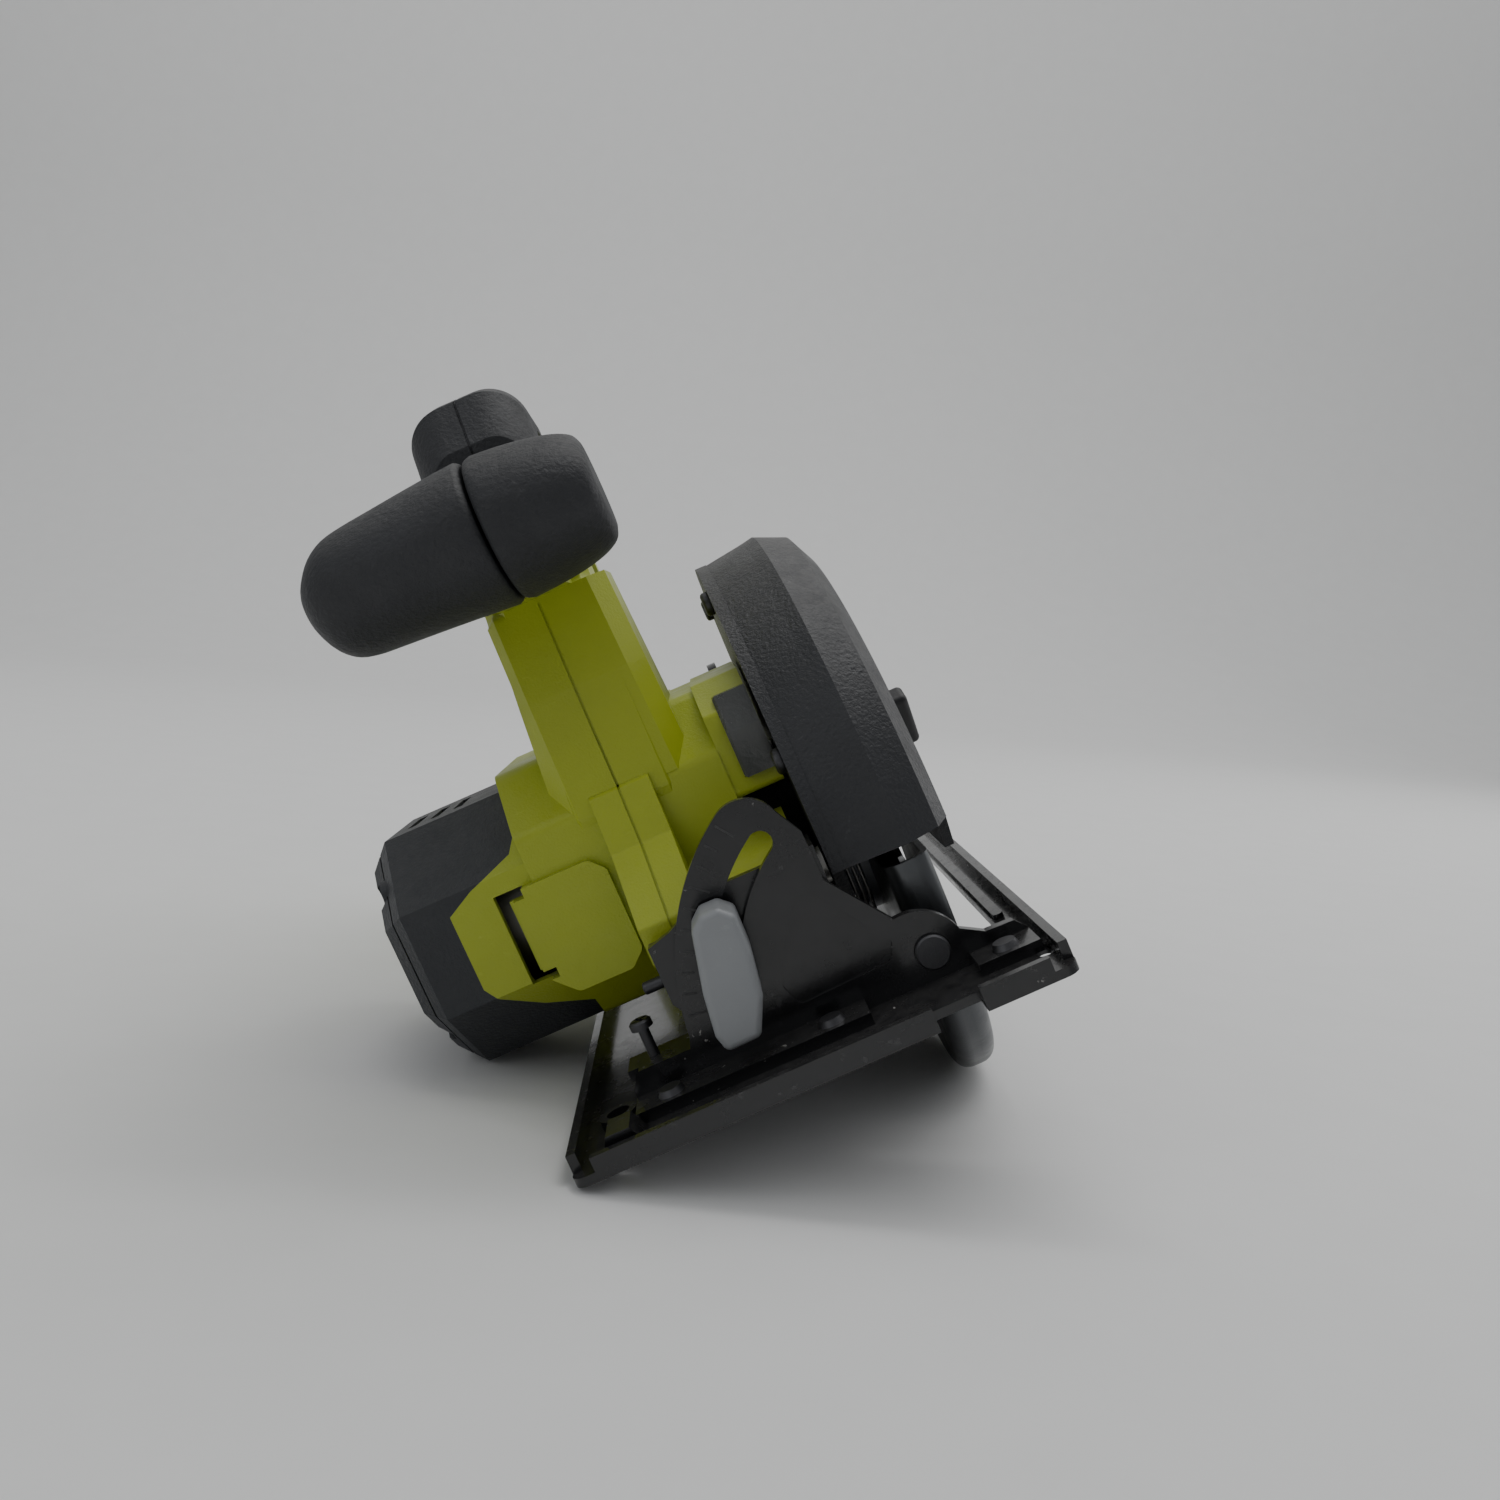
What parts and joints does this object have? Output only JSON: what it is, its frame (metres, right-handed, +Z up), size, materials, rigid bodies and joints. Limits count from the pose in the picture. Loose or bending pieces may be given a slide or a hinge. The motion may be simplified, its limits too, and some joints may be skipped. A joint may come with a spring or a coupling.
{
  "type": "circular saw",
  "caption": "Compact cordless circular saw lying on its side: clamshell handle and motor housing, guarded blade, bevelling steel base with depth and bevel locks.",
  "frame": {"origin": "centre of the bounding box at floor level, with the saw lying on its side as set down", "axes": "+Y from the front of the saw to its battery end, parallel to the spindle's normal; +Z up; +X towards the blade side. The saw's own sole is rolled 28.7 degrees about Y, so that it lies on the base's left edge and the rounded lower guard"},
  "size_m": [0.1686, 0.24, 0.1609],
  "materials": {
    "housing_green": "satin moulded nylon, lime green",
    "grip_rubber": "grained overmould, dark charcoal",
    "charcoal_plastic": "fine texture, dark charcoal",
    "black_plastic": "satin",
    "guard_black": "textured powder coat on die-cast magnesium",
    "base_black": "gloss black stove enamel",
    "zinc_steel": "bright zinc plate",
    "dark_steel": "black oxide",
    "blade_steel": "ground saw steel",
    "lever_grey": "light grey moulded plastic",
    "lower_guard_grey": "drawn, dark satin",
    "gear_steel": "hardened, oiled",
    "magnet": "ferrite, matte",
    "laminations": "stacked electrical steel",
    "copper": "commutator copper",
    "lens_clear": "frosted clear polycarbonate",
    "lamp_white": "circuit board and lamp body",
    "button_green": "satin"
  },
  "bodies": {
    "base": {"base_plate": "base_black", "bevel_quadrant": "base_black", "rear_bevel_bracket": "base_black", "bracket_rivets": "dark_steel", "bevel_stop_screw": "zinc_steel", "front_bevel_pin": "dark_steel", "rear_bevel_pin": "dark_steel"},
    "carriage": {"front_carriage": "base_black", "carriage_rail": "base_black", "rear_depth_bracket": "base_black", "depth_pivot_pin": "zinc_steel", "bevel_clamp_bolt": "zinc_steel", "squareness_screw": "zinc_steel", "bevel_lever_washer": "zinc_steel"},
    "bevel_lever": {"bevel_lock_lever": "lever_grey"},
    "saw_head": {"left_housing": "housing_green", "right_housing": "housing_green", "housing_screws": "dark_steel", "motor_end_cap": "charcoal_plastic", "cap_screws": "dark_steel", "left_front_grip": "grip_rubber", "right_front_grip": "grip_rubber", "left_handle_grip": "grip_rubber", "right_handle_grip": "grip_rubber", "work_lamp_lens": "lens_clear", "lamp_board": "lamp_white", "gear_case": "guard_black", "upper_guard": "guard_black", "guard_screws": "dark_steel", "guard_return_spring": "gear_steel", "depth_lock_bolt": "zinc_steel", "spindle_inner_bearing": "gear_steel", "spindle_outer_bearing": "gear_steel", "motor_can": "zinc_steel", "motor_magnets": "magnet", "brush_holder": "black_plastic", "motor_bearings": "gear_steel", "switch_module": "black_plastic", "battery_terminal_block": "black_plastic"},
    "spindle_set": {"spindle": "gear_steel", "inner_flange": "dark_steel", "outer_flange": "zinc_steel", "blade_bolt": "dark_steel", "blade": "blade_steel", "spur_gear": "gear_steel"},
    "rotor": {"armature": "laminations", "commutator": "copper", "motor_shaft": "gear_steel", "cooling_fan": "black_plastic", "motor_pinion": "gear_steel"},
    "blade_guard": {"lower_guard": "lower_guard_grey", "guard_lever": "lower_guard_grey", "guard_lever_knob": "black_plastic"},
    "trigger_body": {"trigger": "black_plastic"},
    "lock_off": {"lock_off_button": "black_plastic"},
    "spindle_lock": {"spindle_lock_button": "black_plastic"},
    "depth_lever": {"depth_lock_lever": "lever_grey"}
  },
  "joints": [
    {"name": "bevel_tilt", "type": "hinge", "parent": "base", "child": "carriage", "pos_m": [0.05246, -0.007, 0.04694], "axis": [0, 1, 0], "range_deg": [0, 45]},
    {"name": "bevel_clamp", "type": "hinge", "parent": "carriage", "child": "bevel_lever", "pos_m": [0.01174, -0.103, 0.03314], "axis": [0, 1, 0], "range_deg": [-70, 0]},
    {"name": "cut_depth", "type": "hinge", "parent": "carriage", "child": "saw_head", "pos_m": [0.01677, -0.08, 0.05361], "axis": [0.877, 0, 0.4804], "range_deg": [0, 30]},
    {"name": "blade_spin", "type": "hinge", "parent": "saw_head", "child": "spindle_set", "pos_m": [0.04062, -0.014, 0.06211], "axis": [0.877, 0, 0.4804], "continuous": true},
    {"name": "motor_spin", "type": "hinge", "parent": "saw_head", "child": "rotor", "pos_m": [-0.01945, -0.034, 0.04688], "axis": [0.877, 0, 0.4804], "continuous": true},
    {"name": "guard_retract", "type": "hinge", "parent": "saw_head", "child": "blade_guard", "pos_m": [0.04588, -0.014, 0.065], "axis": [0.877, 0, 0.4804], "range_deg": [0, 150], "stiffness_Nm_per_rad": 0.12, "springref_deg": -34.38},
    {"name": "trigger_press", "type": "slide", "parent": "saw_head", "child": "trigger_body", "axis": [-0.4613, 0.279, 0.8422], "range_m": [0, 0.005], "stiffness_N_per_m": 600, "springref_m": -0.002},
    {"name": "lock_off_push", "type": "slide", "parent": "saw_head", "child": "lock_off", "axis": [0.877, 0, 0.4804], "range_m": [-0.0025, 0.0025], "stiffness_N_per_m": 500},
    {"name": "spindle_lock_push", "type": "slide", "parent": "saw_head", "child": "spindle_lock", "axis": [0.464, -0.2588, -0.8472], "range_m": [0, 0.0015], "stiffness_N_per_m": 600, "springref_m": -0.002},
    {"name": "depth_clamp", "type": "hinge", "parent": "saw_head", "child": "depth_lever", "pos_m": [0.02991, 0.0234, 0.04002], "axis": [0.877, 0, 0.4804], "range_deg": [0, 40]}
  ],
  "couplings": [
    {"joint": "motor_spin", "follows": "blade_spin", "ratio": -4.4444}
  ]
}
